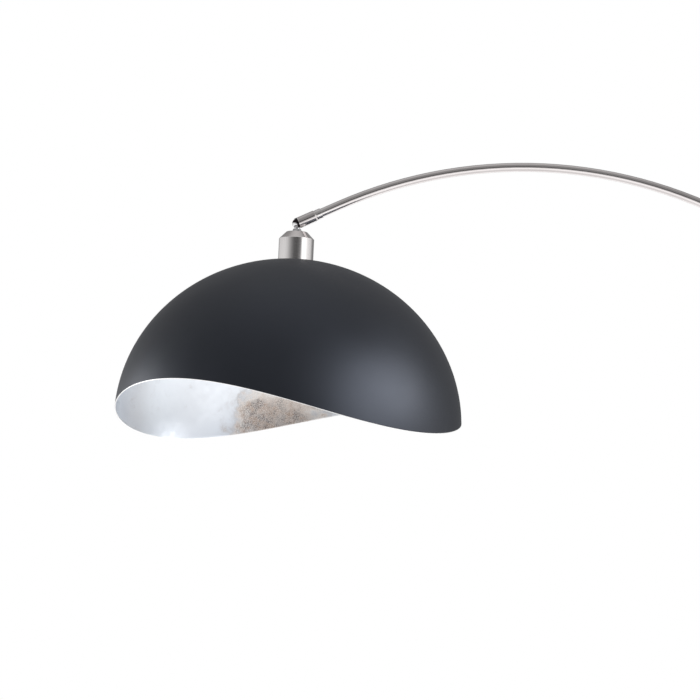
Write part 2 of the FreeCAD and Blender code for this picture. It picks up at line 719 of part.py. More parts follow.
def make_arc_sleeve():
    """Curved sleeve over the joint of the two arm tubes, with two set screws on its inner side."""
    split, span = S["split_angle"].value, S["sleeve_span"]
    frame = arc_frame(split - span.value / 2)
    sleeve = bent_tube("sleeve_blank", 0, span, None, S["sleeve_radius"], S["tube_radius"])
    parts.remove(sleeve)
    sleeve.Placement = frame
    reach = S["sleeve_radius"] + TOOL_PAST
    screws = []
    tools = []
    for number, side in enumerate((-1, 1), start=1):
        turn = arc_frame(split + side * span.value / 4)
        inward = FreeCAD.Placement(turn.multVec(FreeCAD.Vector(S["arc_radius"].value, 0, 0)),
                                   turn.Rotation * FreeCAD.Rotation(Y_AXIS, -90))
        tools.append(bare_cylinder("sleeve_hole_%d" % number, S["screw_radius"], reach, inward))
        seat = FreeCAD.Placement(inward.multVec(Z_AXIS * (S["tube_radius"].value + SLIDE_GAP)),
                                 inward.Rotation)
        screws.append(make_set_screw(number, seat))
    cut_shape("arc_coupler", sleeve, tools)
    group = doc.addObject("Part::Compound", "screw_group")
    group.Links = screws
    finish_part(group, "coupler_screws")


def make_set_screw(number, seat):
    """Headless screw with a hexagon socket."""
    length = S["sleeve_radius"] - S["tube_radius"] - SLIDE_GAP
    shank = bare_cylinder("set_screw_%d" % number, S["screw_radius"] - PRESS_GAP, length, seat)
    key = doc.addObject("Part::Prism", "screw_key_%d" % number)
    key.Polygon = 6
    key.setExpression("Circumradius", S["key_radius"].text)
    key.Height = TOOL_PAST
    key.Placement = FreeCAD.Placement(seat.multVec(Z_AXIS * S["key_floor"].value), seat.Rotation)
    cut = doc.addObject("Part::Cut", "screw_cut_%d" % number)
    cut.Base = shank
    cut.Tool = key
    return cut


def make_end_collar():
    """Jam collar that locks the ferrule on the arm's thread."""
    low = S["ferrule_length"] + REST_GAP
    high = low + S["jam_length"]
    bevel, bore, outer = SMALL_BEVEL / 2, S["tube_radius"] + PRESS_GAP, S["jam_radius"]
    points = [
        (bore, low), (outer - bevel, low), (outer, low + bevel), (outer, high - bevel),
        (outer - bevel, high), (bore, high),
    ]
    return turned("end_collar", points, frame=ferrule_frame())


def make_arm_lead():
    """Two-core lead inside the arm: up the leg, round the arc and out to the ferrule."""
    radius = S["arc_radius"]
    low = S["bush_foot"] + S["bush_floor"] + S["lead_gap"] - S["arc_height"]
    slope = math.radians(S["end_slope"].value)
    tip = FreeCAD.Vector(-radius.value * math.sin(slope), radius.value * math.cos(slope), 0)
    run = (S["end_run"] - S["tube_reach"] - S["lead_gap"]).value
    end = tip + FreeCAD.Vector(-math.cos(slope), -math.sin(slope), 0) * run
    body = new_body("arm_lead")
    path = new_sketch(body)
    path.addGeometry(Part.LineSegment(FreeCAD.Vector(radius.value, low.value, 0),
                                      FreeCAD.Vector(radius.value, 0, 0)), False)
    circle = Part.Circle(FreeCAD.Vector(0, 0, 0), Z_AXIS, radius.value)
    path.addGeometry(Part.ArcOfCircle(circle, 0, math.pi / 2 + slope), False)
    path.addGeometry(Part.LineSegment(tip, end), False)
    path.addConstraint(Sketcher.Constraint("Coincident", 0, 2, 1, 1))
    path.addConstraint(Sketcher.Constraint("Tangent", 1, 2, 2, 1))
    path.addConstraint(Sketcher.Constraint("Coincident", 1, 3, -1, 1))
    pin_point(path, 0, 1, (radius, low))
    pin_point(path, 0, 2, (radius, as_size(0)))
    pin_point(path, 2, 2, (as_size(end.x), as_size(end.y)))
    profile = new_sketch(body, "XY_Plane")
    profile.AttachmentOffset = FreeCAD.Placement(FreeCAD.Vector(0, 0, low.value), FreeCAD.Rotation())
    draw_circle(profile, radius, 0, S["lead_radius"])
    doc.recompute()
    pipe = body.newObject("PartDesign::AdditivePipe", "arm_lead_pipe")
    pipe.Profile = profile
    pipe.Spine = (path, ["Edge1", "Edge2", "Edge3"])
    return finish_part(body, "arm_lead", arc_frame(0))


# ---------------------------------------------------------------- swivel

def make_ball_socket():
    """Ferrule: a rolled lip round the ball, a chamber behind it, a thread bore and the stem's slot."""
    lip, cup, outer = S["lip_reach"], S["cup_radius"], S["ferrule_radius"]
    length, bevel, chamber = S["ferrule_length"], S["ferrule_bevel"], S["chamber_depth"]
    thread = S["tube_radius"] + S["tube_run_fit"]
    points = [
        (circle_height(cup, lip), -lip), (circle_height(outer, lip), -lip), (outer, 0),
        (outer, length - bevel), (outer - SMALL_BEVEL, length), (thread, length), (thread, chamber),
        (cup, chamber), (cup, 0),
    ]
    arcs = {1: (0, 0, outer), 8: (0, 0, cup)}
    body = new_body("ball_socket")
    sketch = new_sketch(body)
    draw_outline(sketch, points, arcs)
    revolve(body, sketch)
    slot = new_sketch(body, "YZ_Plane")
    slot.AttachmentOffset = FreeCAD.Placement(Z_AXIS * TOOL_PAST, FreeCAD.Rotation())
    half, back, depth = S["slot_half"], S["slot_back"], S["slot_depth"]
    points = [(-half, -depth), (half, -depth), (half, back), (0, back + half), (-half, back)]
    draw_outline(slot, points, {2: (0, back, half), 3: (0, back, half)})
    pocket(body, slot, depth, back=True)
    return finish_part(body, "ball_socket", ferrule_frame())


def make_ball_seat():
    """Nylon ring with a hollow face that presses on the ball."""
    cup = S["cup_radius"]
    outer, bore = cup - LOOSE_GAP, S["lead_radius"] + S["lead_room"]
    top = S["chamber_depth"] - S["spring_room"]
    hollow = cup * 0.8
    face = circle_height(cup, hollow)
    points = [(bore, circle_height(cup, bore)), (hollow, face), (outer, face), (outer, top),
              (bore, top)]
    return turned("ball_seat", points, {0: (0, 0, cup)}, frame=ferrule_frame())


def make_seat_spring():
    """Wire spring that keeps the seat on the ball."""
    wire = S["spring_wire"]
    body = new_body("seat_spring")
    sketch = new_sketch(body)
    low = S["chamber_depth"] - S["spring_room"] + wire
    draw_circle(sketch, S["cup_radius"] - S["spring_inset"], low, wire)
    doc.recompute()
    coil = body.newObject("PartDesign::AdditiveHelix", "seat_spring_coil")
    coil.Profile = sketch
    coil.ReferenceAxis = (sketch, ["V_Axis"])
    coil.Mode = "pitch-height-angle"
    coil.setExpression("Pitch", S["spring_pitch"].text)
    coil.setExpression("Height", S["spring_height"].text)
    return finish_part(body, "seat_spring", ferrule_frame())


def make_ball_stem():
    """Polished ball, stem, conical neck and threaded tail, turned from one bar and bored for the lead."""
    neck_top = S["cap_top"] + S["neck_height"]
    ball, middle, stem = S["ball_radius"], S["ball_height"], S["stem_radius"]
    meet = middle - circle_height(ball, stem)
    points = [
        (0, S["tail_end"]), (S["stud_radius"], S["tail_end"]), (S["stud_radius"], S["cap_top"]),
        (S["neck_radius"], S["cap_top"]), (S["neck_top_radius"], neck_top), (stem, neck_top),
        (stem, meet), (ball, middle), (0, middle + ball),
    ]
    arcs = {6: (0, middle, ball), 7: (0, middle, ball)}
    body = new_body("ball_stem")
    sketch = new_sketch(body)
    draw_outline(sketch, points, arcs)
    revolve(body, sketch)
    body.Placement = head_frame()
    low = head_frame().multVec(Z_AXIS * (S["tail_end"].value - TOOL_PAST))
    rise = S["ball_height"] - S["tail_end"] + TOOL_PAST
    bore = bare_cylinder("stem_bore_tool", S["stem_narrow"], rise,
                         FreeCAD.Placement(low, head_frame().Rotation))
    tail = bare_cylinder("tail_bore_tool", S["stem_bore"], S["cap_top"] - S["tail_end"] + TOOL_PAST,
                         FreeCAD.Placement(low, head_frame().Rotation))
    mouth = bare_cylinder("ball_bore_tool", S["stem_bore"], S["ball_radius"] + TOOL_PAST,
                          ferrule_frame())
    return cut_shape("ball_stem", body, [bore, tail, mouth])


def make_stem_fixing():
    """Spring washer and nut that hold the cap on the stem."""
    roof = S["cap_top"] - S["cap_roof"]
    bore, outer, thick = S["stud_radius"] + LOOSE_GAP, S["stem_washer_radius"], S["stem_washer_thick"]
    low, middle = roof - thick * 2, roof - thick
    turned("stem_washer", [(bore, low), (bore, middle), (outer, roof), (outer, middle)],
           frame=head_frame())
    frame = head_frame()
    frame.Base = frame.multVec(Z_AXIS * (low - S["stem_nut_thick"]).value)
    hex_nut("stem_nut", S["stem_nut_flats"], S["stem_nut_thick"], S["stud_radius"], frame)


# ---------------------------------------------------------------- head

def make_cap():
    """Turned cap: a straight side, a taper and a flat top with the stem's hole."""
    outer, top, wall, roof = S["cap_radius"], S["cap_top"], S["cap_wall"], S["cap_roof"]
    top_radius, bore = S["cap_top_radius"], S["stud_radius"] + SLIDE_GAP
    edge = SMALL_BEVEL / 2
    points = [
        (outer - wall, S["cap_foot"]), (outer, S["cap_foot"]), (outer, S["cap_shoulder"]),
        (top_radius + edge, top - edge), (top_radius - edge, top), (bore, top),
        (bore, top - roof), (top_radius - wall, top - roof),
        (outer - wall, S["cap_shoulder"] - wall / 2),
    ]
    return turned("cap", points, frame=head_frame())


def make_lampholder():
    """Lampholder body: it screws into the cap, and its skirt passes through the shade."""
    top, roof, foot = S["holder_top"], S["holder_roof"], S["holder_foot"]
    body_radius, skirt, bore = S["holder_radius"], S["holder_skirt"], S["holder_bore"]
    seat = S["cap_foot"] + SMALL_BEVEL
    lead = S["lead_radius"] + S["lead_room"]
    bevel = SMALL_BEVEL
    points = [
        (bore, foot), (skirt - bevel, foot), (skirt, foot + bevel), (skirt, seat), (body_radius, seat),
        (body_radius, top), (lead, top), (lead, roof), (bore, roof),
    ]
    return turned("lampholder", points, frame=head_frame())


def make_contacts():
    """Threaded brass shell, centre contact and the two terminal screws."""
    roof, foot = S["holder_roof"], S["holder_foot"]
    shell, contact = S["shell_radius"], S["contact_radius"]
    ring("screw_shell", shell, shell - S["shell_wall"], foot + S["shell_inset"], roof - 1,
         frame=head_frame())
    ring("centre_contact", contact, S["lead_radius"] + S["lead_room"], roof - S["contact_thick"], roof,
         frame=head_frame())
    screws = []
    for number, side in enumerate((-1, 1), start=1):
        offset = FreeCAD.Vector(0, side * S["terminal_offset"].value, S["holder_top"].value)
        screws.append(make_terminal(number, head_frame().multVec(offset)))
    group = doc.addObject("Part::Compound", "terminal_group")
    group.Links = screws
    finish_part(group, "terminal_screws")


def make_terminal(number, spot):
    """Slotted screw head standing on the lampholder."""
    turn = head_frame().Rotation
    radius, high, wide = S["terminal_radius"], S["terminal_high"], S["terminal_slot"]
    head = bare_cylinder("terminal_%d" % number, radius, high, FreeCAD.Placement(spot, turn))
    slot = doc.addObject("Part::Box", "terminal_slot_%d" % number)
    slot.setExpression("Length", (radius * 2 + TOOL_PAST).text)
    slot.setExpression("Width", wide.text)
    slot.setExpression("Height", high.text)
    corner = FreeCAD.Vector(-radius.value - TOOL_PAST / 2, -wide.value / 2, high.value / 2)
    slot.Placement = FreeCAD.Placement(spot + turn.multVec(corner), turn)
    cut = doc.addObject("Part::Cut", "terminal_cut_%d" % number)
    cut.Base = head
    cut.Tool = slot
    return cut


def make_shade_ring():
    """Ring on the lampholder's thread that clamps the shade up against the cap."""
    under = circle_height(S["shade_radius"] - S["shade_skin"], S["ring_radius"])
    squash = (S["shade_rise"] - S["shade_skin"]) / (S["shade_radius"] - S["shade_skin"])
    top = under * squash - SLIDE_GAP
    bore, outer = S["holder_skirt"] + PRESS_GAP, S["ring_radius"]
    grip, foot, flange = bore + S["ring_wall"], top - S["ring_high"], top - S["ring_flange"]
    bevel = SMALL_BEVEL
    points = [
        (bore, foot), (grip - bevel, foot), (grip, foot + bevel), (grip, flange),
        (outer - bevel, flange), (outer, flange + bevel), (outer, top), (bore, top),
    ]
    body = new_body("shade_ring")
    sketch = new_sketch(body)
    draw_outline(sketch, points)
    revolve(body, sketch)
    notch = new_sketch(body, "XY_Plane")
    low = foot.value - TOOL_PAST
    notch.AttachmentOffset = FreeCAD.Placement(Z_AXIS * low, FreeCAD.Rotation())
    draw_circle(notch, grip + S["ring_notch"] / 2, 0, S["ring_notch"])
    cut = pocket(body, notch, S["ring_high"] - S["ring_flange"] + TOOL_PAST - SMALL_BEVEL, back=True)
    repeat_round(body, cut, notch, 20)
    return finish_part(body, "shade_ring", head_frame())


def rim_height(across, along):
    """Height of the rim's saddle at a place in the wave frame."""
    turn = math.radians(S["rim_tip_turn"].value)
    radius = S["shade_radius"]
    wave = S["rim_wave"] * 2 * across * along / (radius * radius)
    tip = S["rim_tip"] * (across * math.cos(turn) + along * math.sin(turn)) / radius
    return S["rim_mean"] + wave + tip


def saddle_tool():
    """Solid below the rim: a saddle surface spanned by two straight rails, pushed down."""
    reach = S["shade_radius"] * 1.2
    rails = []
    for number, along in enumerate((-reach, reach), start=1):
        rail = doc.addObject("Part::Line", "rim_rail_%d" % number)
        for point, across in ((1, -reach), (2, reach)):
            rail.setExpression("X%d" % point, across.text)
            rail.setExpression("Y%d" % point, along.text)
            rail.setExpression("Z%d" % point, rim_height(across, along).text)
        rails.append(rail)
    saddle = doc.addObject("Part::RuledSurface", "rim_saddle")
    saddle.Curve1 = (rails[0], ["Edge1"])
    saddle.Curve2 = (rails[1], ["Edge1"])
    tool = doc.addObject("Part::Extrusion", "rim_tool")
    tool.Base = saddle
    tool.Dir = FreeCAD.Vector(0, 0, -1)
    tool.DirMode = "Custom"
    tool.setExpression("LengthFwd", (S["shade_rise"] * 2).text)
    tool.Solid = True
    return tool


def half_ellipsoid(name, radius, rise):
    """Round ellipsoid of which the upper part becomes the shade."""
    solid = doc.addObject("Part::Ellipsoid", name)
    solid.setExpression("Radius1", rise.text)
    solid.setExpression("Radius2", radius.text)
    solid.setExpression("Radius3", radius.text)
    solid.Angle1 = -60
    solid.Angle2 = 90
    solid.Angle3 = 360
    return solid


def make_shade():
    """Spun dome with a saddle-shaped rim and a hole for the lampholder in its crown."""
    skin = S["shade_skin"]
    outer = half_ellipsoid("shade_outer", S["shade_radius"], S["shade_rise"])
    inner = half_ellipsoid("shade_inner", S["shade_radius"] - skin, S["shade_rise"] - skin)
    hole = bare_cylinder("shade_hole_tool", S["shade_hole"], S["shade_rise"] + TOOL_PAST,
                         FreeCAD.Placement())
    return cut_shape("shade", outer, [inner, saddle_tool(), hole], head_frame(S["rim_turn"].value))


def make_bulb():
    """Screw cap and pear-shaped glass of the bulb."""
    cap, wall, inset = S["bulb_cap_radius"], S["bulb_cap_wall"], S["bulb_inset"]
    low, high = S["holder_foot"] + inset, S["holder_roof"] - inset
    shoulder, contact = high - S["bulb_cap_shoulder"], S["bulb_contact"]
    tip = high + S["bulb_contact_high"]
    points = [
        (cap - wall, low), (cap, low), (cap, shoulder), (contact, high), (contact, tip), (0, tip),
        (0, tip - wall * 2), (contact - wall * 2, high - wall * 2), (cap - wall, shoulder - wall),
    ]
    turned("bulb_cap", points, frame=head_frame())
    glass, foot, skin = S["bulb_radius"], S["bulb_foot"], S["glass_wall"]
    middle, flare = foot + glass, foot + glass + S["bulb_flare"]
    neck = cap - wall - LOOSE_GAP
    top, below = low + S["bulb_overlap"], low - inset
    widest = circle_height(glass, S["bulb_flare"])
    inner_widest = circle_height(glass - skin, S["bulb_flare"])
    points = [
        (0, foot), (glass, middle), (widest, flare), (neck, below), (neck, top),
        (neck - skin, top), (neck - skin, below), (inner_widest, flare), (glass - skin, middle),
        (0, foot + skin),
    ]
    outside, inside = (0, middle, glass), (0, middle, glass - skin)
    turned("bulb_glass", points, {0: outside, 1: outside, 7: inside, 8: inside}, frame=head_frame())


def make_head_lead():
    """Lead from the stem's bore to the lampholder."""
    low, high = S["holder_roof"], S["cap_top"] - S["lead_gap"]
    radius = S["lead_radius"] - LOOSE_GAP
    turned("head_lead", [(0, low), (radius, low), (radius, high), (0, high)], frame=head_frame())


# ---------------------------------------------------------------- build, check and write

def build():
    """Make every sub-part."""
    make_base_pad()
    make_base_weight()
    make_base_cover()
    make_cord_gland()
    make_pole_fixing()
    make_pole_foot()
    make_pole()
    make_top_collar()
    make_guide_bush()
    make_pole_lead()
    make_lock_knob()
    make_arc_tubes()
    make_arc_sleeve()
    make_end_collar()
    make_arm_lead()
    make_ball_socket()
    make_ball_seat()
    make_seat_spring()
    make_ball_stem()
    make_stem_fixing()
    make_cap()
    make_lampholder()
    make_contacts()
    make_shade_ring()
    make_shade()
    make_bulb()
    make_head_lead()
    doc.recompute()


def check():
    """Stop before writing if any object failed or any sub-part is empty or not valid."""
    for item in doc.Objects:
        if "Invalid" in item.State or "Error" in item.State:
            raise RuntimeError("%s is %s" % (item.Name, item.State))
    for item in parts:
        if item.Shape.isNull() or not item.Shape.isValid() or not item.Shape.Solids:
            raise RuntimeError("%s has no valid solid" % item.Label)


def write():
    """Write each sub-part to a STEP file of its own."""
    os.makedirs("parts", exist_ok=True)
    for item in parts:
        item.Shape.exportStep("parts/%s.step" % item.Label)
        print("%-16s %2d solid  %10.1f mm3" % (item.Label, len(item.Shape.Solids), item.Shape.Volume))


build()
check()
write()
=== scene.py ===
"""Looks of the arc floor lamp around its CAD frame.

Metres, +Z up, origin on the floor under the pole. The arm curves over towards -X in the XZ plane,
and the shade hangs from its end.
"""

import json
import math

import bpy
from mathutils import Matrix, Vector


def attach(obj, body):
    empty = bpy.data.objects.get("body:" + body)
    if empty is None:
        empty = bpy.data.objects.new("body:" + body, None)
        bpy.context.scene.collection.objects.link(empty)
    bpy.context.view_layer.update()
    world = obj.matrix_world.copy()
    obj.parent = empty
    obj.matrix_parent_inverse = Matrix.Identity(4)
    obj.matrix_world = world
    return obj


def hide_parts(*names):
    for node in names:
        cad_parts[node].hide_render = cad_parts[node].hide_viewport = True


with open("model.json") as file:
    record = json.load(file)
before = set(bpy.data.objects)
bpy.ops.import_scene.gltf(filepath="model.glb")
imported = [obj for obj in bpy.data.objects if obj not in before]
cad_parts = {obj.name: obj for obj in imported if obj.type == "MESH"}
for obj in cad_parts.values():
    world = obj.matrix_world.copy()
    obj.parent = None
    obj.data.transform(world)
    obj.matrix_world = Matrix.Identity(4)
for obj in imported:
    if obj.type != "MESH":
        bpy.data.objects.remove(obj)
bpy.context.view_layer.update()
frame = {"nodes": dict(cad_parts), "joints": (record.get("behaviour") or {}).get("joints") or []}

# ---------------------------------------------------------------- places taken from the frame

JOINTS = {joint["name"]: joint for joint in frame["joints"]}
BALL = Vector(JOINTS["head_tilt"]["pos_m"])
SHADE_MIDDLE = Vector(JOINTS["head_spin"]["pos_m"])
HEAD_UP = Vector(JOINTS["head_spin"]["axis"]).normalized()
FERRULE_AXIS = Vector(JOINTS["socket_turn"]["axis"]).normalized()
ACROSS = Vector((0, 1, 0))

# ---------------------------------------------------------------- sizes

ARC_RADIUS = 0.5306                       # centre line of the arm's arc
ARC_HEIGHT = 1.1642                       # of the arc's middle

SHADE_RADIUS = 0.200
SHADE_RISE = 0.1902                       # from the widest circle to the crown
SHADE_SKIN = 0.0012                       # thickness
SHADE_HOLE = 0.0171                       # radius of the hole in the crown
RIM_MEAN = 0.0105                         # mean height of the rim over the widest circle
RIM_WAVE = 0.0244                         # height of the rim's two waves
RIM_TIP = 0.0034                          # height of its one-sided rise
RIM_TIP_TURN = math.radians(66.0)
RIM_TURN = math.radians(1.7)              # turn of the wave about the stem

SHADE_COLUMNS = 320
SHADE_ROWS = 72
ROW_CROWDING = 1.25                       # over 1 draws the rows together towards the rim
BEAD_STEPS = 5                            # points round the cut edge
RIM_ROUNDS = 12                           # rounds that settle a column's latitude at the rim

FLOOR_HALF = 40.0
FLOOR_DROP = 0.0002                       # gap under the felt

CAMERA_DISTANCE = 3.5                     # from the middle of the shade
CAMERA_PITCH = math.radians(4.95)         # looking up
CAMERA_LENS = 156.2
CAMERA_AIM = Vector((0.0717, 0, 0.0856))  # from the middle of the shade to the middle of the view
CAMERA_REACH = 200                        # past the far edge of the floor


def axes_frame(origin, up):
    """Frame with its Z axis along up, its Y axis across the arm, and its origin at a point."""
    side = ACROSS.cross(up).normalized()
    turn = Matrix((side, up.cross(side), up)).transposed().to_4x4()
    return Matrix.Translation(origin) @ turn


HEAD = axes_frame(SHADE_MIDDLE, HEAD_UP)
FERRULE = axes_frame(BALL, FERRULE_AXIS)
POLE = Matrix.Identity(4)
KNOB = axes_frame(Vector(JOINTS["lock_turn"]["pos_m"]), Vector((1, 0, 0)))
ARC = (Matrix.Translation((-ARC_RADIUS, 0, ARC_HEIGHT))
       @ Matrix.Rotation(math.radians(90), 4, "X"))

# ---------------------------------------------------------------- colours and grains

NICKEL_DARK, NICKEL_LIGHT = (0.62, 0.580, 0.575), (0.75, 0.715, 0.71)
NICKEL_CLOUD, NICKEL_WORN = (0.58, 0.54, 0.535), (0.80, 0.775, 0.77)
BRUSH_ALONG = (1600, 1600, 14)            # noise stretched into lines along a tube
BRUSH_PITCH, BRUSH_LENGTH = 0.0007, 2.2   # grooves turned about an axis
GROOVE_CLIMB = 1.7                        # keeps grooves apart on a cylinder and on a cone

LIP_GAP_SHADE = (0.03, 0.025, 0.028)            # painted shade in the gap between the ferrule's lip and the ball
# painted highlight on the lip's rounded edge, and painted shade in the groove behind it
LIP_HIGHLIGHT, LIP_GROOVE_SHADE = (0.90, 0.87, 0.86), (0.40, 0.36, 0.36)
LIP_SCALE = 250.0                         # takes 4 mm along the ferrule to the whole ramp
# painted dark reflection on the top of the ball
BALL_DARK_REFLECTION = (0.035, 0.025, 0.028)

LEAF_CLEAN = (0.69, 0.715, 0.755)
LEAF_LIT_SIDE = (0.86, 0.905, 0.96)         # painted light: leaf made lighter at the side away from the pole
LEAF_GREYED, LEAF_WARMED = (0.60, 0.605, 0.625), (0.74, 0.70, 0.67)
LEAF_BROWNED = (0.66, 0.60, 0.56)
LEAF_TARNISH = Vector((-0.008, 0.192, 0.018))   # middle of the tarnished patch in the shade
SPECK_DARK, SPECK_RUSTY = (0.20, 0.18, 0.175), (0.42, 0.32, 0.26)
LEAF_SHEET = 190                          # crackle cells per metre

PAINT_DARK, PAINT_LIGHT = (0.0028, 0.0031, 0.0042), (0.0042, 0.0046, 0.0060)
PAINT_SHINE = (0.745, 0.82, 1.0, 1.0)     # blue cast of the paint's reflections


# ---------------------------------------------------------------- node kit

MIX_A, MIX_B, MIX_RESULT = 6, 7, 2        # colour sockets of a Mix node


class Nodes:
    """A node tree that is being built. Sockets pass from call to call."""

    def __init__(self, tree):
        self.tree = tree

    def feed(self, socket, value):
        """Link a socket to another, or give it a value."""
        if isinstance(value, bpy.types.NodeSocket):
            self.tree.links.new(value, socket)
        else:
            socket.default_value = value

    def node(self, kind, inputs, **settings):
        """Add a node. Inputs are named or numbered sockets."""
        node = self.tree.nodes.new("ShaderNode" + kind)
        for key, value in settings.items():
            setattr(node, key, value)
        for key, value in inputs.items():
            self.feed(node.inputs[key], value)
        return node

    def split(self, vector):
        """The three parts of a vector."""
        return self.node("SeparateXYZ", {0: vector}).outputs

    def sum(self, operation, first, second=0.0):
        """Arithmetic on two numbers."""
        return self.node("Math", {0: first, 1: second}, operation=operation).outputs[0]

    def ramp(self, value, *stops):
        """Colour ramp with (position, colour) stops."""
        node = self.node("ValToRGB", {0: value})
        elements = node.color_ramp.elements
        while len(elements) < len(stops):
            elements.new(1.0)
        for element, (position, colour) in zip(elements, stops):
            element.position = position
            element.color = (*colour, 1)
        return node.outputs[0]

    def mix(self, factor, first, second, blend="MIX"):
        """Mix two colours."""
        colours = [value if isinstance(value, bpy.types.NodeSocket) else (*value, 1)
                   for value in (first, second)]
        return self.node("Mix", {0: factor, MIX_A: colours[0], MIX_B: colours[1]},
                         data_type="RGBA", blend_type=blend).outputs[MIX_RESULT]


class Finish(Nodes):
    """One material and its node tree."""

    def __init__(self, name, **constants):
        self.material = bpy.data.materials.new(name)
        self.material.use_nodes = True
        super().__init__(self.material.node_tree)
        self.surface = self.tree.nodes["Principled BSDF"]
        for socket, value in constants.items():
            self.set(socket.replace("_", " "), value)

    def set(self, socket, value):
        """Set one input of the surface shader."""
        self.feed(self.surface.inputs[socket], value)

    def place(self, axes=POLE, stretch=(1, 1, 1)):
        """Coordinates in a frame that moves with the piece.

        The stretch is in cells of a noise per metre, along each axis of the frame.
        """
        spot = self.node("TexCoord", {}).outputs["Object"]
        local = self.node("Mapping", {"Vector": spot, "Location": axes.translation,
                                      "Rotation": axes.to_euler()}, vector_type="TEXTURE")
        return self.node("Mapping", {"Vector": local.outputs[0], "Scale": stretch}).outputs[0]

    def rings(self, axes, pitch, length):
        """Coordinates in which noise makes grooves turned about the frame's Z axis.

        The pitch is in metres from groove to groove. The length is in cells round the axis.
        """
        parts = self.split(self.place(axes))
        flat = self.node("CombineXYZ", {0: parts[0], 1: parts[1]}).outputs[0]
        radius = self.node("VectorMath", {0: flat}, operation="LENGTH").outputs["Value"]
        around = self.split(self.node("VectorMath", {0: flat}, operation="NORMALIZE").outputs[0])
        climb = self.sum("ADD", radius, self.sum("MULTIPLY", parts[2], GROOVE_CLIMB))
        return self.node("CombineXYZ", {
            0: self.sum("MULTIPLY", around[0], length),
            1: self.sum("MULTIPLY", around[1], length),
            2: self.sum("MULTIPLY", climb, 1 / pitch),
        }).outputs[0]

    def noise(self, vector, detail=2.0, roughness=0.5, distortion=0.0):
        """Soft noise between 0 and 1. The vector's stretch sets its scale."""
        return self.node("TexNoise", {"Vector": vector, "Scale": 1.0, "Detail": detail,
                                      "Roughness": roughness, "Distortion": distortion}).outputs[0]

    def cells(self, vector, scale, feature="DISTANCE_TO_EDGE"):
        """Distance in a pattern of cells."""
        return self.node("TexVoronoi", {"Vector": vector, "Scale": scale},
                         feature=feature).outputs["Distance"]

    def span(self, value, low, high, to_low=0.0, to_high=1.0):
        """Map a range of a number to another range, smoothly and clamped."""
        return self.node("MapRange", {"Value": value, "From Min": low, "From Max": high,
                                      "To Min": to_low, "To Max": to_high},
                         interpolation_type="SMOOTHSTEP").outputs[0]

    def bump(self, height, distance, strength=1.0):
        """Bend the normal by a height of 0 to 1, which stands for a distance. Calls stack."""
        inputs = {"Height": height, "Distance": distance, "Strength": strength}
        normal = self.surface.inputs["Normal"]
        if normal.is_linked:
            inputs["Normal"] = normal.links[0].from_socket
        self.set("Normal", self.node("Bump", inputs).outputs[0])

    def edges(self):
        """Near 1 on sharp outer edges, where handling wears a finish."""
        pointed = self.node("NewGeometry", {}).outputs["Pointiness"]
        return self.span(pointed, 0.52, 0.60)


# ---------------------------------------------------------------- materials

def brushed_nickel(name, axes, straight=False, lip=False):
    """Warm satin nickel, brushed round the frame's Z axis, or along it when straight.

    With a lip, the first 4 mm along the axis get painted shade in the gap, a painted highlight on
    the ring and painted shade in the groove.
    """
    finish = Finish(name, Metallic=1.0)
    if straight:
        vector = finish.place(axes, BRUSH_ALONG)
    else:
        vector = finish.rings(axes, BRUSH_PITCH, BRUSH_LENGTH)
    grain = finish.noise(vector, detail=3.0, roughness=0.6)
    cloud = finish.noise(finish.place(stretch=(18, 18, 18)), detail=2.0)
    colour = finish.mix(grain, NICKEL_DARK, NICKEL_LIGHT)
    colour = finish.mix(finish.span(cloud, 0.35, 0.75, 0.0, 0.35), colour, NICKEL_CLOUD)
    colour = finish.mix(finish.edges(), colour, NICKEL_WORN)
    # painted shade and a painted highlight on the first 4 mm of the ferrule
    if lip:
        along = finish.split(finish.place(axes))[2]
        lip_light_and_shade = finish.ramp(finish.sum("MULTIPLY", along, LIP_SCALE), (0.0, LIP_GAP_SHADE),
                           (0.42, LIP_GAP_SHADE), (0.50, LIP_HIGHLIGHT), (0.72, LIP_HIGHLIGHT),
                           (0.80, LIP_GROOVE_SHADE))
        painted_lip_mask = finish.span(along, 0.0030, 0.0038, 1.0, 0.0)
        colour = finish.mix(painted_lip_mask, colour, lip_light_and_shade)
    finish.set("Base Color", colour)
    finish.set("Roughness", finish.span(grain, 0.2, 0.8, 0.13, 0.22))
    finish.bump(grain, 0.00002, 0.35)
    return finish.material


def polished_steel():
    """Plated ball and stem: near mirror, with a few hairlines, and a painted dark reflection on the
    ball above its middle.
    """
    finish = Finish("polished_steel", Metallic=1.0)
    hairline = finish.noise(finish.place(HEAD, (900, 900, 9000)), detail=2.0)
    smear = finish.noise(finish.place(stretch=(200, 200, 200)), detail=3.0)
    # painted dark reflection above the ball's middle
    height = finish.split(finish.place(axes_frame(BALL, HEAD_UP)))[2]
    dark_top = finish.span(height, -0.0004, 0.0008)
    colour = finish.mix(smear, (0.70, 0.70, 0.71), (0.80, 0.80, 0.81))
    finish.set("Base Color", finish.mix(dark_top, colour, BALL_DARK_REFLECTION))
    finish.set("Roughness", finish.span(smear, 0.3, 0.8, 0.05, 0.13))
    finish.bump(hairline, 0.000004, 0.3)
    return finish.material


def zinc_plate():
    """Zinc plated steel: cool, slightly blotched."""
    finish = Finish("zinc_plate", Metallic=1.0)
    spangle = finish.noise(finish.place(stretch=(260, 260, 260)), detail=4.0)
    colour = finish.ramp(spangle, (0.3, (0.46, 0.48, 0.52)), (0.55, (0.58, 0.60, 0.62)),
                         (0.75, (0.64, 0.62, 0.55)))
    finish.set("Base Color", finish.mix(finish.edges(), colour, (0.78, 0.79, 0.80)))
    finish.set("Roughness", finish.span(spangle, 0.3, 0.7, 0.25, 0.42))
    finish.bump(spangle, 0.00003, 0.4)
    return finish.material


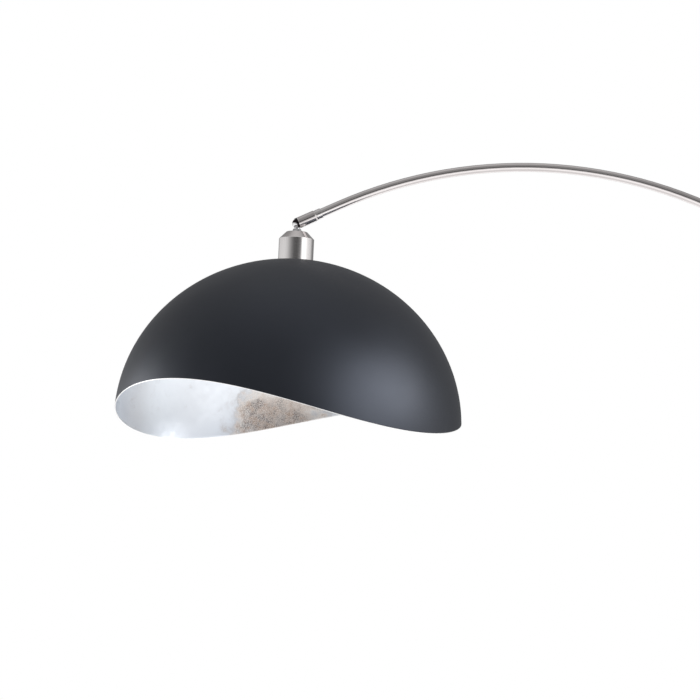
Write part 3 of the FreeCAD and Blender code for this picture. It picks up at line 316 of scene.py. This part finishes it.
def brass():
    """Stamped brass with a light tarnish."""
    finish = Finish("brass", Metallic=1.0)
    tarnish = finish.noise(finish.place(stretch=(300, 300, 300)), detail=4.0, roughness=0.6)
    colour = finish.ramp(tarnish, (0.3, (0.45, 0.30, 0.12)), (0.7, (0.75, 0.56, 0.27)))
    finish.set("Base Color", colour)
    finish.set("Roughness", finish.span(tarnish, 0.3, 0.7, 0.38, 0.24))
    finish.bump(tarnish, 0.00002, 0.4)
    return finish.material


def cast_iron():
    """Sand-cast weight under a thin coat of paint."""
    finish = Finish("cast_iron", Metallic=0.2)
    sand = finish.noise(finish.place(stretch=(700, 700, 700)), detail=4.0, roughness=0.7)
    pits = finish.cells(finish.place(), 420, feature="F1")
    colour = finish.mix(sand, (0.045, 0.045, 0.05), (0.13, 0.13, 0.135))
    finish.set("Base Color", finish.mix(finish.edges(), colour, (0.22, 0.20, 0.19)))
    finish.set("Roughness", finish.span(sand, 0.2, 0.8, 0.55, 0.8))
    finish.bump(pits, 0.0003, 0.5)
    finish.bump(sand, 0.0002, 0.6)
    return finish.material


def felt():
    """Pressed fibres of the pad."""
    finish = Finish("felt", Roughness=0.95, Sheen_Weight=0.4, Sheen_Roughness=0.5)
    fibre = finish.noise(finish.place(stretch=(900, 2600, 2600)), detail=5.0, roughness=0.7,
                         distortion=1.2)
    cross = finish.noise(finish.place(stretch=(2600, 900, 2600)), detail=5.0, roughness=0.7,
                         distortion=1.2)
    mesh = finish.sum("MAXIMUM", fibre, cross)
    finish.set("Base Color", finish.mix(mesh, (0.02, 0.02, 0.021), (0.115, 0.112, 0.11)))
    finish.bump(mesh, 0.0004, 0.9)
    return finish.material


def moulded(name, dark, light, roughness, grain=0.00002):
    """Moulded plastic or rubber: a fine spark texture and slightly uneven gloss."""
    finish = Finish(name)
    spark = finish.noise(finish.place(stretch=(2500, 2500, 2500)), detail=2.0)
    flow = finish.noise(finish.place(stretch=(70, 70, 70)), detail=3.0)
    worn = [min(1, 1.5 * part + 0.02) for part in light]
    finish.set("Base Color", finish.mix(finish.edges(), finish.mix(flow, dark, light), worn))
    finish.set("Roughness", finish.span(flow, 0.3, 0.7, roughness - 0.06, roughness + 0.06))
    finish.bump(spark, grain, 0.5)
    return finish.material


def opal_glass():
    """Opal glass of the bulb: white, lightly clouded, with a glossy skin."""
    finish = Finish("opal_glass", Roughness=0.12, Subsurface_Weight=0.35,
                    Subsurface_Radius=(0.004, 0.004, 0.004), Coat_Weight=0.3, Coat_Roughness=0.05)
    cloud = finish.noise(finish.place(HEAD, (60, 60, 60)), detail=3.0)
    finish.set("Base Color", finish.mix(cloud, (0.86, 0.855, 0.84), (0.95, 0.945, 0.935)))
    ripple = finish.noise(finish.place(HEAD, (140, 140, 60)), detail=1.0)
    finish.bump(ripple, 0.00005, 0.3)
    return finish.material


def satin_black():
    """Blue-black satin paint on the dome: faint orange peel, spinning marks and dust."""
    finish = Finish("satin_black", Specular_IOR_Level=0.62, Specular_Tint=PAINT_SHINE)
    peel = finish.noise(finish.place(HEAD, (900, 900, 900)), detail=2.0)
    spinning = finish.noise(finish.rings(HEAD, 0.004, 1.5), detail=2.0)
    cloud = finish.noise(finish.place(HEAD, (14, 14, 14)), detail=3.0)
    finish.set("Base Color", finish.mix(cloud, PAINT_DARK, PAINT_LIGHT))
    rough = finish.span(cloud, 0.3, 0.7, 0.42, 0.47)
    finish.set("Roughness", finish.sum("ADD", rough, finish.span(peel, 0.3, 0.7, -0.015, 0.015)))
    finish.bump(spinning, 0.00006, 0.25)
    finish.bump(peel, 0.00003, 0.4)
    return finish.material


def silver_leaf():
    """Silver leaf: bright crinkled sheets, crackled and tarnished in clouds, with painted light
    towards the side away from the pole.
    """
    finish = Finish("silver_leaf", Metallic=1.0)
    place = finish.place(HEAD)
    warp = finish.noise(finish.place(HEAD, (34, 34, 34)), detail=4.0, roughness=0.6, distortion=0.4)
    blotch = finish.noise(finish.place(HEAD, (130, 130, 130)), detail=3.0, roughness=0.6)
    grain = finish.noise(finish.place(HEAD, (1000, 1000, 1000)), detail=2.0, roughness=0.8)
    patch = finish.node("VectorMath", {0: place, 1: LEAF_TARNISH}, operation="DISTANCE")
    near = finish.span(patch.outputs["Value"], 0.008, 0.095, 1.0, 0.0)
    drift = finish.sum("ADD", finish.sum("MULTIPLY", warp, 1.3),
                       finish.sum("MULTIPLY", blotch, 0.5))
    clouds = finish.span(finish.sum("ADD", near, drift), 0.98, 1.75)
    specks = finish.sum("MULTIPLY", clouds, finish.span(grain, 0.42, 0.56))
    specks = finish.sum("MULTIPLY", specks, finish.span(warp, 0.44, 0.60, 0.35, 1.0))
    tint = finish.mix(finish.span(blotch, 0.4, 0.6), SPECK_DARK, SPECK_RUSTY)
    colour = finish.ramp(clouds, (0.0, LEAF_CLEAN), (0.35, LEAF_GREYED), (0.65, LEAF_WARMED),
                         (1.0, LEAF_BROWNED))
    # painted light: lighter leaf towards the side away from the pole
    side = finish.span(finish.split(place)[0], -0.11, -0.17)
    colour = finish.mix(side, colour, LEAF_LIT_SIDE)
    finish.set("Base Color", finish.mix(specks, colour, tint))
    finish.set("Roughness", finish.sum("ADD", finish.span(blotch, 0.3, 0.7, 0.32, 0.40),
                                       finish.sum("MULTIPLY", specks, 0.15)))
    crack = finish.span(finish.cells(place, LEAF_SHEET), 0.0, 0.04)
    finish.bump(warp, 0.0008, 0.3)
    finish.bump(grain, 0.00006, 0.3)
    finish.bump(crack, 0.00006, 0.2)
    return finish.material


def bare_edge():
    """Cut edge of the shade: silvered metal."""
    finish = Finish("bare_edge", Metallic=1.0)
    nicks = finish.noise(finish.place(HEAD, (500, 500, 500)), detail=3.0)
    finish.set("Base Color", finish.mix(nicks, (0.74, 0.73, 0.72), (0.92, 0.92, 0.92)))
    finish.set("Roughness", finish.span(nicks, 0.3, 0.7, 0.25, 0.4))
    finish.bump(nicks, 0.00008, 0.4)
    return finish.material


def pale_floor():
    """Matt pale floor."""
    finish = Finish("pale_floor", Roughness=0.9, Specular_IOR_Level=0.2)
    cloud = finish.noise(finish.place(stretch=(3, 3, 3)), detail=3.0)
    finish.set("Base Color", finish.mix(cloud, (0.86, 0.86, 0.86), (0.88, 0.88, 0.88)))
    return finish.material


MATERIALS = {
    "nickel_pole": brushed_nickel("nickel_pole", POLE, straight=True),
    "nickel_base": brushed_nickel("nickel_base", POLE),
    "nickel_arc": brushed_nickel("nickel_arc", ARC),
    "nickel_knob": brushed_nickel("nickel_knob", KNOB),
    "nickel_ferrule": brushed_nickel("nickel_ferrule", FERRULE, lip=True),
    "nickel_cap": brushed_nickel("nickel_cap", HEAD),
    "polished": polished_steel(),
    "zinc": zinc_plate(),
    "brass": brass(),
    "iron": cast_iron(),
    "felt": felt(),
    "rubber": moulded("rubber", (0.018, 0.018, 0.018), (0.035, 0.034, 0.033), 0.62, 0.00004),
    "nylon": moulded("nylon", (0.72, 0.71, 0.66), (0.82, 0.81, 0.77), 0.40),
    "holder_plastic": moulded("holder_plastic", (0.010, 0.010, 0.011), (0.022, 0.022, 0.023), 0.30),
    "lead_jacket": moulded("lead_jacket", (0.015, 0.015, 0.016), (0.030, 0.030, 0.031), 0.45),
    "opal_glass": opal_glass(),
    "satin_black": satin_black(),
    "silver_leaf": silver_leaf(),
    "bare_edge": bare_edge(),
}

NODE_FINISH = {
    "base_pad": "felt",
    "base_weight": "iron",
    "base_cover": "nickel_base",
    "base_flange": "nickel_base",
    "base_stud": "zinc",
    "base_washer": "zinc",
    "base_nut": "zinc",
    "cord_gland": "rubber",
    "pole_foot_plug": "zinc",
    "pole_lower": "nickel_pole",
    "pole_joint": "nickel_base",
    "pole_upper": "nickel_pole",
    "top_collar": "nickel_base",
    "guide_bush": "nylon",
    "pole_lead": "lead_jacket",
    "lock_knob": "nickel_knob",
    "arc_lower": "nickel_arc",
    "arc_coupler": "nickel_arc",
    "coupler_screws": "zinc",
    "arc_upper": "nickel_arc",
    "end_collar": "nickel_ferrule",
    "arm_lead": "lead_jacket",
    "ball_socket": "nickel_ferrule",
    "ball_seat": "nylon",
    "seat_spring": "zinc",
    "ball_stem": "polished",
    "stem_washer": "zinc",
    "stem_nut": "zinc",
    "cap": "nickel_cap",
    "lampholder": "holder_plastic",
    "screw_shell": "brass",
    "centre_contact": "brass",
    "terminal_screws": "brass",
    "shade_ring": "holder_plastic",
    "bulb_glass": "opal_glass",
    "bulb_cap": "zinc",
    "head_lead": "lead_jacket",
}


def finish_nodes():
    """Give every CAD node that stays in view its finish."""
    for name, finish in NODE_FINISH.items():
        node = frame["nodes"][name]
        for index in range(len(node.data.materials)):
            node.material_slots[index].material = MATERIALS[finish]


# ---------------------------------------------------------------- mesh kit

def add_mesh(name, vertices, faces, finishes, indices):
    """Smooth mesh object from its vertices, its faces and the index of each face's finish."""
    mesh = bpy.data.meshes.new(name)
    mesh.from_pydata(vertices, [], faces)
    for finish in finishes:
        mesh.materials.append(MATERIALS[finish])
    mesh.polygons.foreach_set("material_index", indices)
    mesh.polygons.foreach_set("use_smooth", [True] * len(mesh.polygons))
    mesh.update()
    piece = bpy.data.objects.new(name, mesh)
    bpy.context.scene.collection.objects.link(piece)
    return piece


def closed_rings(rings):
    """Vertices and faces of a closed surface through equal rings, the last joined to the first."""
    count = len(rings[0])
    vertices = [point for ring in rings for point in ring]
    faces = []
    for row in range(len(rings)):
        here, there = row * count, (row + 1) % len(rings) * count
        for column in range(count):
            beside = (column + 1) % count
            faces.append((here + column, here + beside, there + beside, there + column))
    return vertices, faces


# ---------------------------------------------------------------- shade

def rim_height(across, along):
    """Height of the rim's saddle at a place in the wave frame."""
    wave = RIM_WAVE * 2 * across * along / SHADE_RADIUS ** 2
    tip = across * math.cos(RIM_TIP_TURN) + along * math.sin(RIM_TIP_TURN)
    return RIM_MEAN + wave + RIM_TIP * tip / SHADE_RADIUS


def rim_latitude(angle, radius, rise):
    """Latitude on an ellipsoid where it meets the rim's saddle, at an angle about the stem."""
    latitude = 0.0
    for _ in range(RIM_ROUNDS):
        reach = radius * math.cos(latitude)
        height = rim_height(reach * math.cos(angle), reach * math.sin(angle))
        latitude = math.asin(height / rise)
    return latitude


def meridian(angle, inset):
    """Points of one meridian of the shade's skin, from the crown's hole down to the rim's bead.

    The last point is half a thickness above the rim, which leaves room for the bead.
    """
    radius, rise = SHADE_RADIUS - inset, SHADE_RISE - inset
    crown = math.acos(SHADE_HOLE / radius)
    rim = rim_latitude(angle, radius, rise) + SHADE_SKIN / 2 / rise
    points = []
    for row in range(SHADE_ROWS):
        part = row / (SHADE_ROWS - 1)
        latitude = crown + (rim - crown) * (1 - (1 - part) ** ROW_CROWDING)
        reach = radius * math.cos(latitude)
        points.append(Vector((reach * math.cos(angle), reach * math.sin(angle),
                              rise * math.sin(latitude))))
    return points


def bead(outer, inner):
    """Rounded cut edge between the last points of the outer and the inner meridian."""
    middle = (outer[-1] + inner[-1]) / 2
    side = outer[-1] - middle
    down = (outer[-1] - outer[-2]).normalized() * side.length
    steps = [math.pi * step / (BEAD_STEPS + 1) for step in range(1, BEAD_STEPS + 1)]
    return [middle + side * math.cos(step) + down * math.sin(step) for step in steps]


def add_shade():
    """Spun dome: satin black outside, silver leaf inside, bare rounded rim."""
    columns = []
    for column in range(SHADE_COLUMNS):
        angle = 2 * math.pi * column / SHADE_COLUMNS
        outer, inner = meridian(angle, 0.0), meridian(angle, SHADE_SKIN)
        columns.append(outer + bead(outer, inner) + inner[::-1])
    rings = [list(ring) for ring in zip(*columns)]
    vertices, faces = closed_rings(rings)
    outside, inside, edge = range(3)
    rows = ([outside] * (SHADE_ROWS - 1) + [edge] * (BEAD_STEPS + 1)
            + [inside] * (SHADE_ROWS - 1) + [outside])
    indices = [row for row in rows for _ in range(SHADE_COLUMNS)]
    turn = HEAD @ Matrix.Rotation(RIM_TURN, 4, "Z")
    finishes = ("satin_black", "silver_leaf", "bare_edge")
    shade = add_mesh("shade_dome", [turn @ point for point in vertices], faces, finishes, indices)
    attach(shade, "head")
    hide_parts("shade")
    return shade


# ---------------------------------------------------------------- studio

def turn_stops(*stops):
    """Ramp stops from degrees about the studio, 0 towards the camera and 90 towards +X."""
    return [((degrees + 180) / 360, level) for degrees, level in stops]


# A sun's row: name, turn and rise in degrees, width in degrees, power.
SOFT_SKY = ("soft_sky", -36, 61, 50, 3.4)
SOFTBOXES = (
    ("softbox_right", 55, 18, 38, 1.35),
    ("softbox_far_right", 82, 17, 34, 1.1),
    ("softbox_left", -112, 3, 38, 1.25),
)

# Levels of the room that reflections show. In the last three, 0 is straight down, 0.5 is level
# and 1 is straight up.
WALLS = turn_stops(
    (-180, 0.35), (-152, 0.45), (-135, 0.8), (-95, 0.9), (-78, 0.9), (-60, 0.75), (-45, 0.5),
    (-25, 0.15), (-12, 0.04), (8, 0.04), (30, 0.25), (42, 1.6), (48, 1.8), (60, 1.8), (74, 1.1),
    (92, 0.88), (108, 0.78), (120, 0.45), (134, 0.20), (152, 0.25), (180, 0.35))
CEILING = [(0.0, 0.95), (0.22, 1.7), (0.32, 1.35), (0.42, 1.25), (0.50, 1.1), (0.53, 0.30),
           (0.80, 0.31), (0.93, 0.40), (1.0, 0.70)]
WALL_SHARE = [(0.22, 0.0), (0.32, 0.4), (0.42, 0.55), (0.48, 1.0), (0.55, 1.0), (0.66, 0.0)]
BANNER = [(0.32, 0.0), (0.42, 1.0), (0.57, 1.0), (0.70, 0.42), (0.84, 0.1), (0.95, 0.0)]


def add_floor():
    """Wide pale floor just under the felt. Reflections show the room's lower half instead."""
    corners = [(x * FLOOR_HALF, y * FLOOR_HALF, -FLOOR_DROP)
               for x, y in ((-1, -1), (1, -1), (1, 1), (-1, 1))]
    mesh = bpy.data.meshes.new("floor")
    mesh.from_pydata(corners, [], [(0, 1, 2, 3)])
    mesh.materials.append(pale_floor())
    floor = bpy.data.objects.new("floor", mesh)
    bpy.context.scene.collection.objects.link(floor)
    floor.visible_glossy = False


def add_sun(name, turn, rise, width, power):
    """Distant soft light, turned from the camera's side towards +X and raised, all in degrees."""
    light = bpy.data.lights.new(name, "SUN")
    light.energy = power
    light.angle = math.radians(width)
    lamp = bpy.data.objects.new(name, light)
    turn, rise = math.radians(turn), math.radians(rise)
    towards = Vector((math.sin(turn) * math.cos(rise), -math.cos(turn) * math.cos(rise),
                      math.sin(rise)))
    lamp.rotation_euler = towards.to_track_quat("Z", "Y").to_euler()
    bpy.context.scene.collection.objects.link(lamp)
    return lamp


def add_lights(shade):
    """Soft light from above that no reflection shows, and softboxes that light the shade alone."""
    add_sun(*SOFT_SKY).visible_glossy = False
    receivers = bpy.data.collections.new("softbox_receivers")
    receivers.objects.link(shade)
    for box in SOFTBOXES:
        add_sun(*box).light_linking.receiver_collection = receivers


def grey(stops):
    """Colour stops from (position, level) stops."""
    return [(position, (level, level, level)) for position, level in stops]


def add_world():
    """White surroundings for the eye, and a room of uneven brightness for reflections."""
    world = bpy.data.worlds.new("studio")
    world.use_nodes = True
    bpy.context.scene.world = world
    world.node_tree.nodes.clear()
    room = Nodes(world.node_tree)

    way = room.split(room.node("TexCoord", {}).outputs["Generated"])
    turn = room.sum("ARCTAN2", way[0], room.sum("MULTIPLY", way[1], -1.0))
    around = room.node("MapRange", {"Value": turn, "From Min": -math.pi, "From Max": math.pi})
    height = room.node("MapRange", {"Value": way[2], "From Min": -1.0, "From Max": 1.0})
    around, height = around.outputs[0], height.outputs[0]

    walls = room.ramp(around, *grey(WALLS))
    share = room.ramp(height, *grey(WALL_SHARE))
    banners = room.mix(1.0, walls, room.ramp(height, *grey(BANNER)), "MULTIPLY")
    seen = room.mix(share, room.ramp(height, *grey(CEILING)), walls)
    seen = room.mix(1.0, seen, banners, "LIGHTEN")

    dim = room.node("Background", {"Color": seen}).outputs[0]
    white = room.node("Background", {"Color": (1, 1, 1, 1)}).outputs[0]
    eye = room.node("LightPath", {}).outputs["Is Camera Ray"]
    room.node("OutputWorld", {0: room.node("MixShader", {0: eye, 1: dim, 2: white}).outputs[0]})


def add_camera():
    """Camera below the shade, looking slightly up at it."""
    camera = bpy.data.objects.new("camera", bpy.data.cameras.new("camera"))
    ahead = Vector((0, math.cos(CAMERA_PITCH), math.sin(CAMERA_PITCH)))
    camera.location = SHADE_MIDDLE - ahead * CAMERA_DISTANCE
    look = SHADE_MIDDLE + CAMERA_AIM - camera.location
    camera.rotation_euler = look.to_track_quat("-Z", "Y").to_euler()
    camera.data.lens = CAMERA_LENS
    camera.data.clip_end = CAMERA_REACH
    bpy.context.scene.collection.objects.link(camera)
    bpy.context.scene.camera = camera
    bpy.context.scene.view_settings.view_transform = "Standard"


finish_nodes()
shade = add_shade()
add_floor()
add_lights(shade)
add_world()
add_camera()
